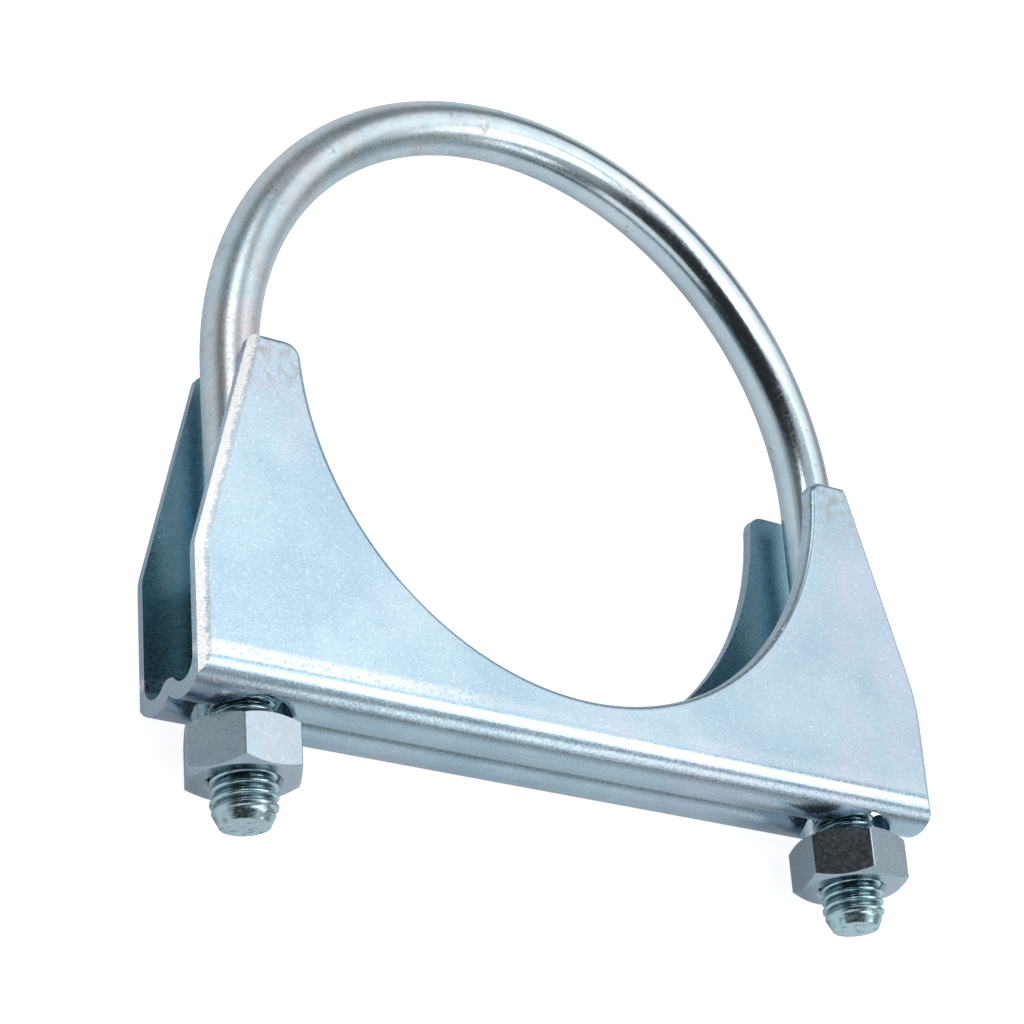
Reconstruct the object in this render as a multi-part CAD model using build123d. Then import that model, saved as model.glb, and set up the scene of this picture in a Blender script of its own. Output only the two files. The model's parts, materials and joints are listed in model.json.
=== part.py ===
from build123d import *

import os
from math import sqrt

# U-bolt pipe clamp: a bent rod with threaded legs, a pressed channel saddle and two hex nuts.
#
# Frame, in millimetres: the origin is on the axis of the pipe that the clamp holds.
# +X runs from the left leg to the right leg, +Y from the nuts towards the crown of the
# bend, and +Z along the pipe. The clamp is mirror-like about X = 0, apart from its threads,
# the saddle's shoulders and how far each nut is turned.

# Thread M8 x 1.25
PITCH = 1.25
CREST_RADIUS = 3.95
ROOT_RADIUS = 3.235
CREST_FLAT = 0.18
ROOT_FLAT = 0.27
THREAD_PLAY = 0.09        # radial play between the nut's bore and the crests

# U-bolt
ROD_DIAMETER = 7.1
LEG_SPACING = 90.0        # between the axes of the two legs
LEG_LENGTH = 58.2         # from the start of the bend to the end of a leg
THREAD_LENGTH = 32.5
POINT_RADIUS = 2.95       # flat end of a leg
POINT_LENGTH = 2.5        # plain tapered point below the first groove, two pitches long
RUN_OUT = 1.6             # where the thread dies into the plain shank

# Saddle
PIPE_RADIUS = 39.5
SHEET = 2.0
SADDLE_LENGTH = 108.8
CHANNEL_WIDTH = 14.8
SEAT_TO_WEB = 7.7         # from the bottom of the pipe seat to the lowest line of the web
LOBE_RADIUS = 4.3         # outside of the two round ridges along the web
EAR_TOP = -1.0
EAR_OUTER_X = 46.2
SHOULDER_Y = -29.7
EAR_OUTER_RADIUS = 1.2
EAR_INNER_RADIUS = 2.2
LEFT_SHOULDER_RADIUS = 6.0
RIGHT_SHOULDER_RADIUS = 25.0
DIE_ROLL = 0.8            # rounding that the punch leaves along the seat and the ear tops
BEVEL_WIDTH = 1.3         # wider edge along the outer sides, measured across the plate
BEVEL_DEPTH = 0.9
BEVEL_RISE = 5.0          # how far the bevelled sides run on above the ear tops
LEG_HOLE_RADIUS = 5.8

# Nuts
NUT_FLATS = 13.0
NUT_HEIGHT = 6.4
NUT_GAP = 1.25            # the nuts stand one turn clear of the web
NUT_CORNER_RADIUS = 0.3
NUT_FACE_RADIUS = 6.2     # bearing face, inside the 30 degree corner chamfer
NUT_MOUTH_RADIUS = 4.5    # countersink at each end of the bore
LEFT_NUT_TURN = -28.3     # how far a corner is turned from +Z towards +X, in degrees
RIGHT_NUT_TURN = -17.0

ROD_RADIUS = ROD_DIAMETER / 2
LEG_X = LEG_SPACING / 2
HALF_WIDTH = CHANNEL_WIDTH / 2
HALF_LENGTH = SADDLE_LENGTH / 2
BEND_GAP = 0.05           # between the pipe and the crown of the bend
BEND_Y = PIPE_RADIUS + BEND_GAP - (LEG_X - ROD_RADIUS)
LEG_END_Y = BEND_Y - LEG_LENGTH
WEB_Y = -PIPE_RADIUS - SEAT_TO_WEB
LOBE_Z = HALF_WIDTH - LOBE_RADIUS
LOBE_Y = WEB_Y + LOBE_RADIUS
NUT_TOP_Y = WEB_Y - NUT_GAP
ALONG_LEG = Plane(origin=(0, 0, 0), x_dir=(0, 0, 1), z_dir=(0, 1, 0))


def turned(outline):
    """Solid turned about the Y axis from (radius, y) points."""
    return revolve(make_face(Polyline(*outline, close=True)), Axis.Y)


def threaded_end():
    """Lower end of a leg: a tapered point, grooves one pitch apart above it, and a run-out."""
    top = LEG_END_Y + THREAD_LENGTH
    flank = (PITCH - CREST_FLAT - ROOT_FLAT) / 2
    first = LEG_END_Y + POINT_LENGTH
    grooves = [(0, LEG_END_Y), (POINT_RADIUS, LEG_END_Y), (CREST_RADIUS, first)]
    for turn in range(round((THREAD_LENGTH - POINT_LENGTH) / PITCH)):
        y = first + turn * PITCH
        grooves += [
            (CREST_RADIUS, y + CREST_FLAT),
            (ROOT_RADIUS, y + CREST_FLAT + flank),
            (ROOT_RADIUS, y + PITCH - flank),
            (CREST_RADIUS, y + PITCH),
        ]
    grooves += [(0, top)]
    envelope = [
        (0, LEG_END_Y),
        (CREST_RADIUS + 0.1, LEG_END_Y),
        (CREST_RADIUS + 0.1, top - RUN_OUT),
        (ROD_RADIUS, top),
        (0, top),
    ]
    return turned(grooves) & turned(envelope)


def make_u_bolt():
    """Round rod bent through half a turn, with two straight threaded legs."""
    bend = Pos(0, BEND_Y, 0) * revolve(
        Plane.XZ * Pos(LEG_X, 0) * Circle(ROD_RADIUS), Axis.Z, revolution_arc=180
    )
    shank_length = LEG_LENGTH - THREAD_LENGTH
    shank = Pos(0, BEND_Y - shank_length / 2, 0) * Rot(90, 0, 0) * Cylinder(ROD_RADIUS, shank_length)
    leg = threaded_end() + shank
    return bend + Pos(-LEG_X, 0, 0) * leg + Pos(LEG_X, 0, 0) * leg


def channel():
    """Sheet bent into a channel along X: two flat plates and a web of two round lobes."""
    valley_fall = sqrt(LOBE_RADIUS**2 - LOBE_Z**2)
    valley = Vector(0, LOBE_Y - valley_fall)
    inner_radius = LOBE_RADIUS - SHEET
    inner_z = HALF_WIDTH - SHEET
    lobe = Vector(LOBE_Z, LOBE_Y)
    ridge = lobe + (valley - lobe).normalized() * inner_radius
    ridge_middle = valley + (ridge - valley + Vector(0, SHEET)).normalized() * SHEET
    half_section = make_face([
        Line((inner_z, EAR_TOP), (HALF_WIDTH, EAR_TOP)),
        Line((HALF_WIDTH, EAR_TOP), (HALF_WIDTH, LOBE_Y)),
        ThreePointArc((HALF_WIDTH, LOBE_Y), (LOBE_Z, WEB_Y), valley),
        Line(valley, valley + Vector(0, SHEET)),
        ThreePointArc(valley + Vector(0, SHEET), ridge_middle, ridge),
        ThreePointArc(ridge, (LOBE_Z, LOBE_Y - inner_radius), (inner_z, LOBE_Y)),
        Line((inner_z, LOBE_Y), (inner_z, EAR_TOP)),
    ])
    section = half_section + mirror(half_section, Plane.YZ)
    across_x = Plane(origin=(-HALF_LENGTH, 0, 0), x_dir=(0, 0, -1), z_dir=(1, 0, 0))
    return extrude(across_x * section, SADDLE_LENGTH)


def between_sides(rise):
    """Face between the two outer sides, from the web to a height above the ear tops."""
    slope = (HALF_LENGTH - EAR_OUTER_X) / (EAR_TOP - SHOULDER_Y)
    top = (EAR_OUTER_X - slope * rise, EAR_TOP + rise)
    right_side = [top, (HALF_LENGTH, SHOULDER_Y), (HALF_LENGTH, WEB_Y)]
    left_side = [(-x, y) for x, y in reversed(right_side)]
    face = make_face(Polyline(*right_side, *left_side, close=True))
    left = face.vertices().filter_by(lambda v: abs(v.Y - SHOULDER_Y) < 0.01 and v.X < 0)
    face = fillet(left, LEFT_SHOULDER_RADIUS)
    right = face.vertices().filter_by(lambda v: abs(v.Y - SHOULDER_Y) < 0.01 and v.X > 0)
    return fillet(right, RIGHT_SHOULDER_RADIUS)


def side_outline():
    """Outline of the side plates seen along the pipe: sides, ears and the pipe seat."""
    outline = between_sides(0) - Circle(PIPE_RADIUS)
    upper = outline.vertices().filter_by(lambda v: v.Y > EAR_TOP - 0.01)
    outline = fillet(upper.filter_by(lambda v: abs(v.X) > LEG_X), EAR_OUTER_RADIUS)
    inner = outline.vertices().filter_by(lambda v: v.Y > EAR_TOP - 0.01 and abs(v.X) < PIPE_RADIUS + 1)
    return fillet(inner, EAR_INNER_RADIUS)


def bevelled_sides():
    """Block between the outer sides, bevelled along the outer faces of the plates."""
    block = extrude(between_sides(BEVEL_RISE), HALF_WIDTH, both=True)
    for end in (0, -1):
        plate = block.faces().sort_by(Axis.Z)[end]
        edges = plate.edges().filter_by(lambda e: abs(e.center().X) > PIPE_RADIUS)
        block = chamfer(edges, BEVEL_WIDTH, BEVEL_DEPTH, reference=plate)
    return block


def make_saddle():
    """Pressed channel that bears on the pipe, with a hole for each leg."""
    block = extrude(side_outline(), HALF_WIDTH, both=True)
    rims = block.edges().filter_by(lambda e: abs(e.center().Z) > HALF_WIDTH - 0.01)
    pressed = channel() & fillet(rims, DIE_ROLL) & bevelled_sides()
    depth = LOBE_Y - WEB_Y + 1
    hole = Pos(0, LOBE_Y - depth / 2, 0) * Rot(90, 0, 0) * Cylinder(LEG_HOLE_RADIUS, depth)
    return pressed - Pos(-LEG_X, 0, 0) * hole - Pos(LEG_X, 0, 0) * hole


def make_nut(turn):
    """Hex nut on the Y axis with both ends chamfered, one corner turned from +Z towards +X."""
    bottom = NUT_TOP_Y - NUT_HEIGHT
    hexagon = RegularPolygon(NUT_FLATS / 2, 6, major_radius=False, rotation=turn)
    hexagon = fillet(hexagon.vertices(), NUT_CORNER_RADIUS)
    prism = ALONG_LEG * Pos(0, 0, bottom) * extrude(hexagon, NUT_HEIGHT)
    reach = NUT_FLATS / sqrt(3) + 0.5
    drop = (reach - NUT_FACE_RADIUS) / sqrt(3)
    rounded = prism & turned([
        (0, bottom),
        (NUT_FACE_RADIUS, bottom),
        (reach, bottom + drop),
        (reach, NUT_TOP_Y - drop),
        (NUT_FACE_RADIUS, NUT_TOP_Y),
        (0, NUT_TOP_Y),
    ])
    bore = CREST_RADIUS + THREAD_PLAY
    hole = turned([
        (0, bottom - 0.1),
        (NUT_MOUTH_RADIUS + 0.1, bottom - 0.1),
        (bore, bottom + NUT_MOUTH_RADIUS - bore),
        (bore, NUT_TOP_Y - NUT_MOUTH_RADIUS + bore),
        (NUT_MOUTH_RADIUS + 0.1, NUT_TOP_Y + 0.1),
        (0, NUT_TOP_Y + 0.1),
    ])
    return rounded - hole


def main():
    """Write each piece as its own STEP file."""
    pieces = {
        "u_bolt": make_u_bolt(),
        "saddle": make_saddle(),
        "left_nut": Pos(-LEG_X, 0, 0) * make_nut(LEFT_NUT_TURN),
        "right_nut": Pos(LEG_X, 0, 0) * make_nut(RIGHT_NUT_TURN),
    }
    os.makedirs("parts", exist_ok=True)
    for name, piece in pieces.items():
        export_step(piece, f"parts/{name}.step")


if __name__ == "__main__":
    main()
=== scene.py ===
import json
import math

import bmesh
import bpy
from mathutils import Matrix, Vector


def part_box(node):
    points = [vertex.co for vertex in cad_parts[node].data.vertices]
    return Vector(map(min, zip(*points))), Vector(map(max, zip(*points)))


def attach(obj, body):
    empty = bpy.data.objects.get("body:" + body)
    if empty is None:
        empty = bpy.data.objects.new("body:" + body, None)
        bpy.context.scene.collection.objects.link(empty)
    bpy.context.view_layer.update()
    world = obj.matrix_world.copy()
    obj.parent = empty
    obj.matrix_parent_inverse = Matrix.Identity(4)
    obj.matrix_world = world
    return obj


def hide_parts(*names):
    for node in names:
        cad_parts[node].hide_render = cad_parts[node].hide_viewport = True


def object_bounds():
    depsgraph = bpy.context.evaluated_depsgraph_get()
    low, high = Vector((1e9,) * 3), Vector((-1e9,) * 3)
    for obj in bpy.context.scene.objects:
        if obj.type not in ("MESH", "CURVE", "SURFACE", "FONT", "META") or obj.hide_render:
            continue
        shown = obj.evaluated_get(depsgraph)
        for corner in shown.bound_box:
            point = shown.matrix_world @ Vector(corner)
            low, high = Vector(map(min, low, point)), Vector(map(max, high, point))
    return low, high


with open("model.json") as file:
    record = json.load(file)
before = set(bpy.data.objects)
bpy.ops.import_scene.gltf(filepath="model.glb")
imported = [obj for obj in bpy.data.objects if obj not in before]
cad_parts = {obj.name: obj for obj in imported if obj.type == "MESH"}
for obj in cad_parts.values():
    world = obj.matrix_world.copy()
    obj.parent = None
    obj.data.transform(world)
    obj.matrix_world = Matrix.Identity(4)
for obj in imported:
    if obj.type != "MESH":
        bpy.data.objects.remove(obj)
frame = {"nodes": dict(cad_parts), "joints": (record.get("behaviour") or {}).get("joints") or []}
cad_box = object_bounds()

MM = 0.001

# Rod and its M8 x 1.25 thread, in metres
PITCH = 1.25 * MM
CREST_RADIUS = 3.95 * MM
ROOT_RADIUS = 3.235 * MM
CREST_SHARE = 0.16        # part of one pitch that is crest
ROOT_SHARE = 0.22         # part of one pitch that is root
THREAD_LENGTH = 32.5 * MM
RUN_OUT = 1.6 * MM        # half the length over which the thread fades into the rod
POINT_RADIUS = 2.95 * MM
POINT_LENGTH = 2.5 * MM
FIRST_GROOVE = 0.8 * MM   # height of the first groove above the end of a leg
ROD_RADIUS = 3.55 * MM
LEG_X = abs(frame["joints"][1]["pos_m"][0])

# Mesh of the rod
SEGMENTS = 64
RINGS_PER_PITCH = 12
BEND_RINGS = 128
SHANK_RINGS = 12

# Where looks change over, in millimetres at rest. Each pair is where a change starts and ends
ROOT_TO_CREST = (3.3, 3.75)           # radius on a leg
POINT_TO_THREAD = (-58.0, -57.0)      # y
POINT_TO_ROOTS = (-58.6, -57.4)       # y, where dark thread roots set in
THREAD_TO_SHANK = (-28.5, -27.0)      # y
BEND_OUTSIDE = (44.2, 46.2)           # distance from the pipe's axis
BEND_RIGHT = (0.0, 22.0)              # x
BEND_START = (-8.0, 2.0)              # y
SATIN_END = (-16.0, 12.0)             # x
SATIN_START = (-20.0, -8.0)           # y
WEB_TO_PLATE = (-43.4, -41.2)         # y
CORNER_START = (-43.6, -42.6)         # y
CORNER_END = (-42.2, -41.2)           # y
CORNER_RUN = (-48.0, 0.0)             # x
EAR = (-12.0, -1.5)                   # y
INNER_TO_OUTER = (5.38, 5.50)         # distance from the middle plane, z
LEFT_EDGE = (-43.0, -44.5)            # x
BEVEL_TOP = (7.45, 7.65)              # z

# Colours
WHITE = (1.0, 1.0, 1.0)
SPECK = (0.97, 0.99, 1.0)
PIT = (0.22, 0.28, 0.32)
HANDLING_MARK = (0.36, 0.35, 0.33)
# painted shade outside the right of the bend
LILAC_PAINTED_SHADE = (0.42, 0.41, 0.46)
THREAD_TEAL = (0.44, 0.69, 0.74)
# painted shade in the roots of the threads
THREAD_ROOT_PAINTED_SHADE = (0.10, 0.17, 0.20)
# painted dark reflection on the points of the legs
POINT_PAINTED_REFLECTION = (0.16, 0.21, 0.23)
BLUSH = (0.66, 0.60, 0.60)
DRAWN_TEAL = (0.46, 0.60, 0.66)
WEB_STREAK = (0.36, 0.45, 0.50)
EAR_BROWN = (0.40, 0.38, 0.35)
# painted shade on the inner walls of the channel
INNER_TEAL_PAINTED_SHADE = (0.26, 0.45, 0.53)
# painted highlight on the rounded bevel of the left edge
BEVEL_PAINTED_HIGHLIGHT = (0.98, 0.97, 0.96)
# painted highlight along the web's lower rounded corner
CORNER_PAINTED_HIGHLIGHT = (0.98, 0.98, 0.98)
SCRATCH = (0.93, 0.95, 0.97)
NUT_MOTTLE = (0.36, 0.40, 0.43)
# painted shade on one face of the right nut
NUT_PAINTED_SHADE = (0.075, 0.08, 0.09)

# Direction, on the nut, of the right nut's face that gets painted shade
NUT_SHADE_DIRECTION = (-0.73, 0.0, 0.68)

# Floor: what the camera sees glows, what the metal mirrors is dimmer
FLOOR_SIZE = 6
FLOOR_ROUGHNESS = 0.9
FLOOR_PAINT = (0.9, 0.9, 0.9)
FLOOR_GLOW = 0.84
FLOOR_BOUNCE = (0.74, 0.78, 0.80)
FLOOR_LIFT = 0.28

# Studio round the object, mirrored in the metal and not seen by the camera
HORIZON = (0.62, 0.66, 0.68)
ZENITH = (0.60, 0.64, 0.67)
ROOM = [(0.10, 0.50), (0.22, 0.18), (0.50, 0.16), (0.66, 0.42)]    # upward share of direction, brightness
ROOM_TINT = (0.92, 1.0, 1.04)
SHADE = (0.02, 0.022, 0.025)
PHOTOGRAPHER = (0.66, 0.80)    # cosine from the camera's direction where the shade starts and is full

# Softboxes: name, direction, distance, width, height (metres), brightness where 1 mirrors as white
SOFTBOXES = [
    ("plate_light", (0.55, 0.45, 0.72), 0.7, 0.50, 0.42, 0.76),
    ("bend_light", (0.58, -0.22, 0.82), 0.6, 0.24, 0.30, 2.4),
    ("web_light", (0.55, -0.66, 0.42), 0.6, 0.24, 0.16, 1.5),
    ("left_strip", (-0.42, 0.56, 0.71), 0.6, 0.36, 0.18, 2.3),
    ("top_strip", (0.16, 0.12, 1.0), 0.6, 0.12, 0.40, 2.4),
    ("right_side", (0.86, 0.40, 0.36), 0.7, 0.30, 0.24, 0.55),
    ("nut_side", (-0.3, -1.0, 0.35), 0.6, 0.5, 0.20, 0.8),
]

# Camera: millimetres of focal length, degrees, metres
LENS = 113.17
AZIMUTH, ELEVATION, ROLL = -52.09, 46.12, 56.41
AIM = (-0.00031, -0.00904, -0.00558)
DISTANCE = 0.4084
CLIP_START, CLIP_END = 0.01, 20


# ---------------------------------------------------------------- rod with rolled threads

def smooth(x):
    """0 to 1 with level ends."""
    x = min(max(x, 0.0), 1.0)
    return x * x * (3 - 2 * x)


def smooth_start(x):
    """Straight from 0, levelling off at 1."""
    x = min(max(x, 0.0), 1.0)
    return x * (1 + x - x * x)


def thread_height(phase):
    """Height of a thread, 0 at the root and 1 at the crest, over one pitch."""
    flank = (1 - CREST_SHARE - ROOT_SHARE) / 2
    away = abs((phase % 1.0) - 0.5)
    return 1 - smooth((away - CREST_SHARE / 2) / flank)


def leg_radius(up, turn):
    """Radius of a leg at a height above its end, in the direction turn (radians about +Y)."""
    blank = POINT_RADIUS + (CREST_RADIUS - POINT_RADIUS) * smooth_start(up / POINT_LENGTH)
    height = thread_height(up / PITCH - turn / (2 * math.pi))
    ridge = ROOT_RADIUS + (CREST_RADIUS - ROOT_RADIUS) * height
    depth = max(blank - ridge, 0) * smooth((up - FIRST_GROOVE) / PITCH)
    shank = smooth((up - THREAD_LENGTH + 2 * RUN_OUT) / (2 * RUN_OUT))
    threaded = blank - depth
    return threaded + (ROD_RADIUS - threaded) * shank


def rod_rings():
    """Rings of points along the rod, from the end of the left leg to the end of the right."""
    low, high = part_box("u_bolt")
    bend_y = high.y - LEG_X - ROD_RADIUS
    leg_length = bend_y - low.y
    threads = round(THREAD_LENGTH / PITCH * RINGS_PER_PITCH)
    ups = [THREAD_LENGTH * i / threads for i in range(threads + 1)]
    shank = leg_length - THREAD_LENGTH
    ups += [THREAD_LENGTH + shank * i / SHANK_RINGS for i in range(1, SHANK_RINGS)]
    angles = [2 * math.pi * i / SEGMENTS for i in range(SEGMENTS)]

    def leg_ring(side, up):
        centre = Vector((side * LEG_X, low.y + up, 0))
        ring = []
        for angle in angles:
            out = Vector((side * math.cos(angle), 0, math.sin(angle)))
            ring.append(centre + out * leg_radius(up, math.atan2(out.x, out.z)))
        return ring

    def bend_ring(share):
        around = math.pi * share
        away = Vector((-math.cos(around), math.sin(around), 0))
        centre = Vector((0, bend_y, 0)) + away * LEG_X
        ring = []
        for angle in angles:
            out = away * math.cos(angle) + Vector((0, 0, math.sin(angle)))
            ring.append(centre + out * ROD_RADIUS)
        return ring

    rings = [leg_ring(-1, up) for up in ups]
    rings += [bend_ring(i / BEND_RINGS) for i in range(BEND_RINGS + 1)]
    rings += [leg_ring(1, up) for up in reversed(ups)]
    return rings


def make_rod():
    """The bent rod as one closed mesh with true right-hand threads."""
    mesh = bmesh.new()
    rings = [[mesh.verts.new(point) for point in ring] for ring in rod_rings()]
    for ring, following in zip(rings, rings[1:]):
        for i in range(SEGMENTS):
            j = (i + 1) % SEGMENTS
            mesh.faces.new((ring[i], ring[j], following[j], following[i]))
    mesh.faces.new(reversed(rings[0]))
    mesh.faces.new(rings[-1])
    bmesh.ops.recalc_face_normals(mesh, faces=mesh.faces)
    for face in mesh.faces:
        face.smooth = len(face.verts) == 4
    data = bpy.data.meshes.new("threaded_rod")
    mesh.to_mesh(data)
    mesh.free()
    rod = bpy.data.objects.new("threaded_rod", data)
    bpy.context.scene.collection.objects.link(rod)
    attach(rod, "u_bolt_body")
    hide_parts("u_bolt")
    return rod


# ---------------------------------------------------------------- materials

class Nodes:
    """Short calls that add shader nodes to one material or world."""

    def __init__(self, owner):
        owner.use_nodes = True
        self.tree = owner.node_tree
        self.tree.nodes.clear()

    def add(self, kind, settings=None, **inputs):
        """A node of that kind. Inputs are values or sockets to link from; _2 is the input numbered 2."""
        node = self.tree.nodes.new("ShaderNode" + kind)
        for name, value in (settings or {}).items():
            setattr(node, name, value)
        for name, value in inputs.items():
            key = int(name[1:]) if name[0] == "_" else name.replace("_", " ")
            self.put(node.inputs[key], value)
        return node

    def put(self, socket, value):
        if isinstance(value, bpy.types.NodeSocket):
            self.tree.links.new(value, socket)
        else:
            socket.default_value = value

    def math(self, operation, a, b=0.0):
        return self.add("Math", {"operation": operation}, _0=a, _1=b).outputs[0]

    def plus(self, a, b):
        return self.math("ADD", a, b)

    def minus(self, a, b):
        return self.math("SUBTRACT", a, b)

    def size(self, value):
        """The value without its sign."""
        return self.math("ABSOLUTE", value)

    def times(self, first, *others):
        """All the factors multiplied together."""
        for other in others:
            first = self.math("MULTIPLY", first, other)
        return first

    def hypotenuse(self, a, b):
        return self.math("SQRT", self.plus(self.times(a, a), self.times(b, b)))

    def along(self, vector, direction):
        """How far a vector points in a direction."""
        return self.add("VectorMath", {"operation": "DOT_PRODUCT"}, _0=vector, _1=direction).outputs["Value"]

    def between(self, value, low, high, out_low=0.0, out_high=1.0):
        """value from low to high becomes out_low to out_high, with soft ends."""
        node = self.add("MapRange", {"interpolation_type": "SMOOTHSTEP"}, Value=value)
        node.inputs["From Min"].default_value = low
        node.inputs["From Max"].default_value = high
        node.inputs["To Min"].default_value = out_low
        node.inputs["To Max"].default_value = out_high
        return node.outputs[0]

    def mix(self, share, a, b):
        """Colour a, turning to colour b where share is 1."""
        node = self.add("Mix", {"data_type": "RGBA"})
        self.put(node.inputs[0], share)
        self.put(node.inputs[6], a)
        self.put(node.inputs[7], b)
        return node.outputs[2]

    def tinted(self, colour, share, *rgb):
        """The colour, turning to the plain colour rgb where share is 1."""
        return self.mix(share, colour, rgba(*rgb))

    def place(self, stretch=(1, 1, 1)):
        """Position on the object in millimetres, stretched along each axis."""
        coordinates = self.add("TexCoord").outputs["Object"]
        scale = [s / MM for s in stretch]
        return self.add("Mapping", Vector=coordinates, Scale=scale).outputs[0]

    def position(self):
        """x, y and z of the position, in millimetres."""
        return self.add("SeparateXYZ", Vector=self.place()).outputs[:3]

    def normal(self):
        """Direction of the surface on the object."""
        return self.add("TexCoord").outputs["Normal"]

    def noise(self, scale, detail=2.0, roughness=0.5, stretch=(1, 1, 1)):
        """Noise with a grain of about 1 / scale millimetres."""
        return self.add(
            "TexNoise", Vector=self.place(stretch), Scale=scale, Detail=detail, Roughness=roughness
        ).outputs[0]


def rgba(r, g, b):
    return (r, g, b, 1.0)


def zinc(name, bright, dark, tint, rough, grain, finish, depth, sparkle):
    """Blue-bright zinc plate: cloudy colour with patches of tint, fine sparkle, pits and bumps.

    grain is bumps per millimetre and depth their height in millimetres. finish(n, colour, roughness, fine)
    adds what one piece has, and returns the colour, the roughness and the height of the bumps.
    """
    material = bpy.data.materials.new(name)
    n = Nodes(material)
    clouds = n.between(n.noise(0.09, 3.0, 0.55), 0.34, 0.68)
    colour = n.mix(clouds, rgba(*dark), rgba(*bright))
    patches = n.between(n.noise(0.055, 2.0), 0.52, 0.70, 0.0, 0.7)
    colour = n.tinted(colour, patches, *tint)
    fine = n.noise(grain, 3.0, 0.6)
    speck = n.between(n.noise(grain * 0.8, 1.0), 0.58, 0.74)
    colour = n.tinted(colour, n.times(speck, sparkle), *SPECK)
    pits = n.between(n.noise(grain * 0.55, 4.0, 0.7), 0.62, 0.80, 0.0, 0.5)
    colour = n.tinted(colour, pits, *PIT)
    roughness = n.between(fine, 0.25, 0.75, rough - 0.08, rough + 0.10)
    colour, roughness, height = finish(n, colour, roughness, fine)
    bump = n.add("Bump", Strength=0.35, Distance=depth * MM, Height=height).outputs[0]
    shader = n.add("BsdfPrincipled", Base_Color=colour, Metallic=1.0, Roughness=roughness, Normal=bump)
    n.add("OutputMaterial", Surface=shader.outputs[0])
    return material


def rod_finish(n, colour, roughness, fine):
    """Small marks, painted shade in lilac-grey outside the right of the bend, teal threads with painted shade
    in their roots, a painted dark reflection mottled on the points, a satin left.
    """
    x, y, z = n.position()

    marks = n.between(n.noise(0.35, 4.0, 0.65), 0.62, 0.72, 0.0, 0.55)
    colour = n.tinted(colour, marks, *HANDLING_MARK)
    roughness = n.plus(roughness, n.times(marks, 0.25))

    # painted shade: lilac-grey dims the outside of the bend on its right half
    outside = n.between(n.hypotenuse(x, y), *BEND_OUTSIDE)
    right = n.between(x, *BEND_RIGHT, 0.0, 0.85)
    colour = n.tinted(colour, n.times(outside, right, n.between(y, *BEND_START)), *LILAC_PAINTED_SHADE)

    threaded = n.between(y, *THREAD_TO_SHANK, 1.0, 0.0)
    colour = n.tinted(colour, n.times(threaded, 0.65), *THREAD_TEAL)
    # painted shade: the thread roots are painted dark, from a little above the points
    radius = n.hypotenuse(n.minus(n.size(x), LEG_X / MM), z)
    groove = n.times(n.between(radius, *ROOT_TO_CREST, 0.8, 0.0), n.between(y, *POINT_TO_ROOTS))
    colour = n.tinted(colour, n.times(threaded, groove), *THREAD_ROOT_PAINTED_SHADE)

    # painted dark reflection: dark mottling on the points of the legs, which are also made rougher
    point = n.between(y, *POINT_TO_THREAD, 1.0, 0.0)
    point_reflection_mask = n.times(point, n.between(n.noise(0.9, 3.0, 0.6), 0.50, 0.64, 0.0, 0.6))
    colour = n.tinted(colour, point_reflection_mask, *POINT_PAINTED_REFLECTION)
    roughness = n.plus(roughness, n.times(point, 0.10))

    satin = n.times(n.between(x, *SATIN_END, 1.0, 0.0), n.between(y, *SATIN_START))
    roughness = n.plus(roughness, n.times(satin, 0.14))
    blush = n.times(satin, n.between(n.noise(0.20, 4.0, 0.6), 0.44, 0.64, 0.0, 0.5))
    colour = n.tinted(colour, blush, *BLUSH)
    drawn = n.times(satin, n.between(n.noise(0.8, 4.0, 0.7), 0.45, 0.62, 0.0, 0.35))
    colour = n.tinted(colour, drawn, *DRAWN_TEAL)
    return colour, roughness, fine


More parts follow.
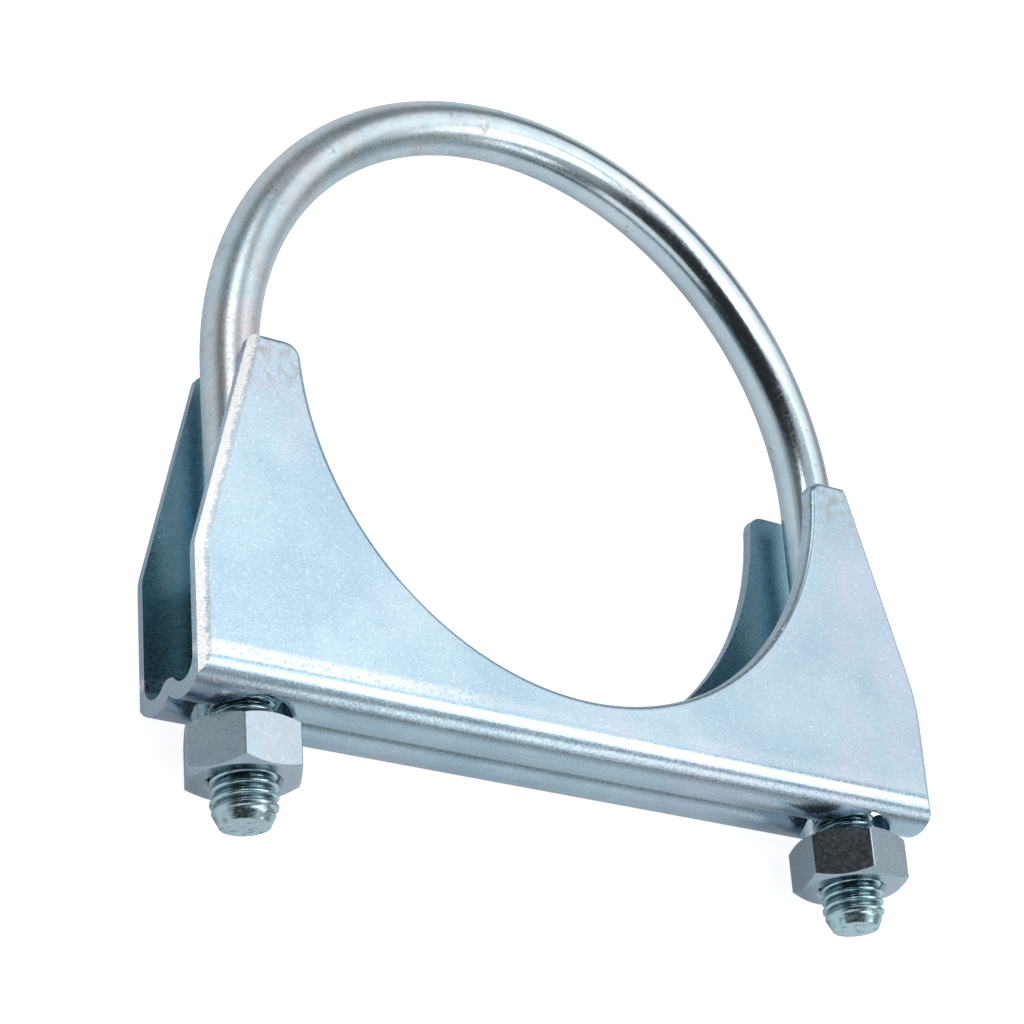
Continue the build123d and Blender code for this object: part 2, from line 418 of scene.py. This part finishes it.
def sheet_finish(n, colour, roughness, fine):
    """A brushed web, brown ears, painted shade in teal on the inner walls, painted highlights in white on the
    left bevel and the lower corner, and a few scratches.
    """
    x, y, z = n.position()
    facing_x, _, facing_z = n.add("SeparateXYZ", Vector=n.normal()).outputs[:3]

    web = n.between(y, *WEB_TO_PLATE, 1.0, 0.0)
    lines = n.noise(2.6, 3.0, 0.6, (0.03, 1.0, 1.0))
    streaks = n.times(web, n.between(lines, 0.50, 0.75, 0.0, 0.45))
    colour = n.tinted(colour, streaks, *WEB_STREAK)
    roughness = n.minus(roughness, n.times(web, 0.08))
    height = n.plus(fine, n.times(web, lines))

    spots = n.between(n.noise(0.7, 4.0, 0.7), 0.48, 0.62)
    colour = n.tinted(colour, n.times(n.between(y, *EAR), spots, 0.75), *EAR_BROWN)

    # painted shade: the flat inner walls of the channel are painted darker teal
    inside = n.between(n.size(z), *INNER_TO_OUTER, 1.0, 0.0)
    flat = n.between(n.size(facing_z), 0.5, 0.9)
    colour = n.tinted(colour, n.times(inside, flat, 0.9), *INNER_TEAL_PAINTED_SHADE)

    # painted highlight: a white strip on the rounded top bevel of the left edge, ragged along its top
    bevel = n.times(n.between(n.size(facing_x), 0.45, 0.52), n.between(facing_z, 0.65, 0.78))
    ragged = n.plus(z, n.times(n.noise(1.6, 3.0, 0.6), 0.9))
    bevel = n.times(bevel, n.between(x, *LEFT_EDGE), n.between(ragged, *BEVEL_TOP, 1.0, 0.15))
    colour = n.tinted(colour, bevel, *BEVEL_PAINTED_HIGHLIGHT)

    # painted highlight: a broken white band along the web's lower rounded corner, stronger to the left
    corner = n.times(n.between(y, *CORNER_START), n.between(y, *CORNER_END, 1.0, 0.0))
    broken = n.between(n.noise(1.8, 3.0, 0.6), 0.34, 0.54)
    corner = n.times(corner, n.between(x, *CORNER_RUN, 0.8, 0.1), broken)
    colour = n.tinted(colour, corner, *CORNER_PAINTED_HIGHLIGHT)

    wander = n.noise(0.55, 2.0, 0.5, (0.5, 6.0, 1.0))
    scratches = n.between(n.size(n.minus(wander, 0.5)), 0.0, 0.006, 0.5, 0.0)
    scratched = n.between(n.noise(0.12, 1.0), 0.55, 0.65)
    colour = n.tinted(colour, n.times(scratches, scratched), *SCRATCH)
    return colour, roughness, height


def nut_finish(n, colour, roughness, fine):
    """Faint mottling, and painted shade: one face of the right nut painted dark."""
    mottle = n.between(n.noise(0.5, 4.0, 0.65), 0.50, 0.70, 0.0, 0.25)
    colour = n.tinted(colour, mottle, *NUT_MOTTLE)
    # painted shade: the right nut's face pointing along NUT_SHADE_DIRECTION is painted dark, with clouds in
    # it
    on_right = n.math("GREATER_THAN", n.position()[0], 0.0)
    nut_shade_mask = n.times(on_right, n.between(n.along(n.normal(), NUT_SHADE_DIRECTION), 0.93, 0.985))
    cloud = n.between(n.noise(1.5, 4.0, 0.7), 0.42, 0.68, 0.95, 0.75)
    colour = n.tinted(colour, n.times(nut_shade_mask, cloud), *NUT_PAINTED_SHADE)
    return colour, roughness, fine


def rod_material():
    """Drawn wire, glossy under the plating."""
    return zinc(
        "zinc_wire", (0.72, 0.80, 0.84), (0.56, 0.68, 0.74), (0.74, 0.67, 0.69),
        rough=0.18, grain=3.2, finish=rod_finish, depth=0.012, sparkle=0.2,
    )


def sheet_material():
    """Pressed sheet, bluer and more speckled than the rod."""
    return zinc(
        "zinc_sheet", (0.50, 0.64, 0.73), (0.42, 0.56, 0.66), (0.56, 0.60, 0.73),
        rough=0.30, grain=3.6, finish=sheet_finish, depth=0.024, sparkle=0.28,
    )


def nut_material():
    """Cold-formed nut, greyer than the sheet."""
    return zinc(
        "zinc_nut", (0.46, 0.57, 0.64), (0.39, 0.50, 0.57), (0.49, 0.53, 0.58),
        rough=0.22, grain=2.2, finish=nut_finish, depth=0.016, sparkle=0.15,
    )


def cover(piece, material):
    piece.data.materials.clear()
    piece.data.materials.append(material)


# ---------------------------------------------------------------- floor, lights, camera

def glowing_paint(n, colour, glow_colour, glow):
    paint = n.add("BsdfPrincipled", Base_Color=rgba(*colour), Roughness=FLOOR_ROUGHNESS)
    paint.inputs["Emission Color"].default_value = rgba(*glow_colour)
    paint.inputs["Emission Strength"].default_value = glow
    return paint.outputs[0]


def make_floor(level):
    """Wide pale floor, white to the camera, greyer in reflections, and clear from below."""
    bpy.ops.mesh.primitive_plane_add(size=FLOOR_SIZE, location=(0, 0, level))
    floor = bpy.context.object
    floor.name = "floor"
    material = bpy.data.materials.new("pale_floor")
    n = Nodes(material)
    paint = glowing_paint(n, FLOOR_PAINT, WHITE, FLOOR_GLOW)
    bounce = glowing_paint(n, FLOOR_BOUNCE, FLOOR_BOUNCE, FLOOR_LIFT)
    seen = n.add("LightPath").outputs["Is Camera Ray"]
    top = n.add("MixShader", _0=seen, _1=bounce, _2=paint)
    clear = n.add("BsdfTransparent")
    below = n.add("NewGeometry").outputs["Backfacing"]
    both = n.add("MixShader", _0=below, _1=top.outputs[0], _2=clear.outputs[0])
    n.add("OutputMaterial", Surface=both.outputs[0])
    cover(floor, material)


def make_world():
    """Studio that the metal mirrors, dark round the photographer, and a white backdrop for the camera."""
    world = bpy.data.worlds.new("studio")
    bpy.context.scene.world = world
    n = Nodes(world)
    direction = n.add("TexCoord").outputs["Generated"]
    height = n.add("SeparateXYZ", Vector=direction).outputs[2]
    ramp = n.add("ValToRGB", Fac=height)
    stops = ramp.color_ramp.elements
    stops[0].position, stops[0].color = 0.0, rgba(*HORIZON)
    stops[1].position, stops[1].color = 1.0, rgba(*ZENITH)
    for position, level in ROOM:
        stops.new(position).color = rgba(*[level * share for share in ROOM_TINT])
    shade = n.between(n.along(direction, camera_back()), *PHOTOGRAPHER)
    room = n.add("Background", Color=n.tinted(ramp.outputs[0], shade, *SHADE), Strength=1.0)
    white = n.add("Background", Color=rgba(*WHITE), Strength=1.0)
    seen = n.add("LightPath").outputs["Is Camera Ray"]
    both = n.add("MixShader", _0=seen, _1=room.outputs[0], _2=white.outputs[0])
    n.add("OutputWorld", Surface=both.outputs[0])


def softbox(name, middle, direction, distance, width, height, brightness):
    """Rectangular lamp in a direction from the object's middle, facing it."""
    lamp = bpy.data.lights.new(name, "AREA")
    lamp.shape = "RECTANGLE"
    lamp.size = width
    lamp.size_y = height
    lamp.energy = brightness * math.pi * width * height
    lamp_object = bpy.data.objects.new(name, lamp)
    bpy.context.scene.collection.objects.link(lamp_object)
    back = Vector(direction).normalized()
    lamp_object.location = middle + back * distance
    lamp_object.rotation_mode = "QUATERNION"
    lamp_object.rotation_quaternion = back.to_track_quat("Z", "Y")


def camera_back():
    """Direction from the object to the camera."""
    azimuth = math.radians(AZIMUTH)
    elevation = math.radians(ELEVATION)
    return Vector((
        math.sin(azimuth) * math.cos(elevation),
        -math.cos(azimuth) * math.cos(elevation),
        math.sin(elevation),
    ))


def make_camera():
    """Long lens over the left end of the saddle, rolled as the photographer held it."""
    data = bpy.data.cameras.new("camera")
    data.lens = LENS
    data.clip_start = CLIP_START
    data.clip_end = CLIP_END
    camera = bpy.data.objects.new("camera", data)
    bpy.context.scene.collection.objects.link(camera)
    back = camera_back()
    camera.location = Vector(AIM) + back * DISTANCE
    camera.rotation_mode = "QUATERNION"
    level = (-back).to_track_quat("-Z", "Y")
    camera.rotation_quaternion = level @ Matrix.Rotation(math.radians(ROLL), 3, "Z").to_quaternion()
    bpy.context.scene.camera = camera


rod = make_rod()
cover(rod, rod_material())
cover(frame["nodes"]["saddle"], sheet_material())
zinc_nut = nut_material()
cover(frame["nodes"]["left_nut"], zinc_nut)
cover(frame["nodes"]["right_nut"], zinc_nut)

make_floor(cad_box[0].z)
make_world()
cad_middle = (cad_box[0] + cad_box[1]) / 2
for light_name, *light in SOFTBOXES:
    softbox(light_name, cad_middle, *light)
make_camera()
bpy.context.scene.view_settings.view_transform = "Standard"
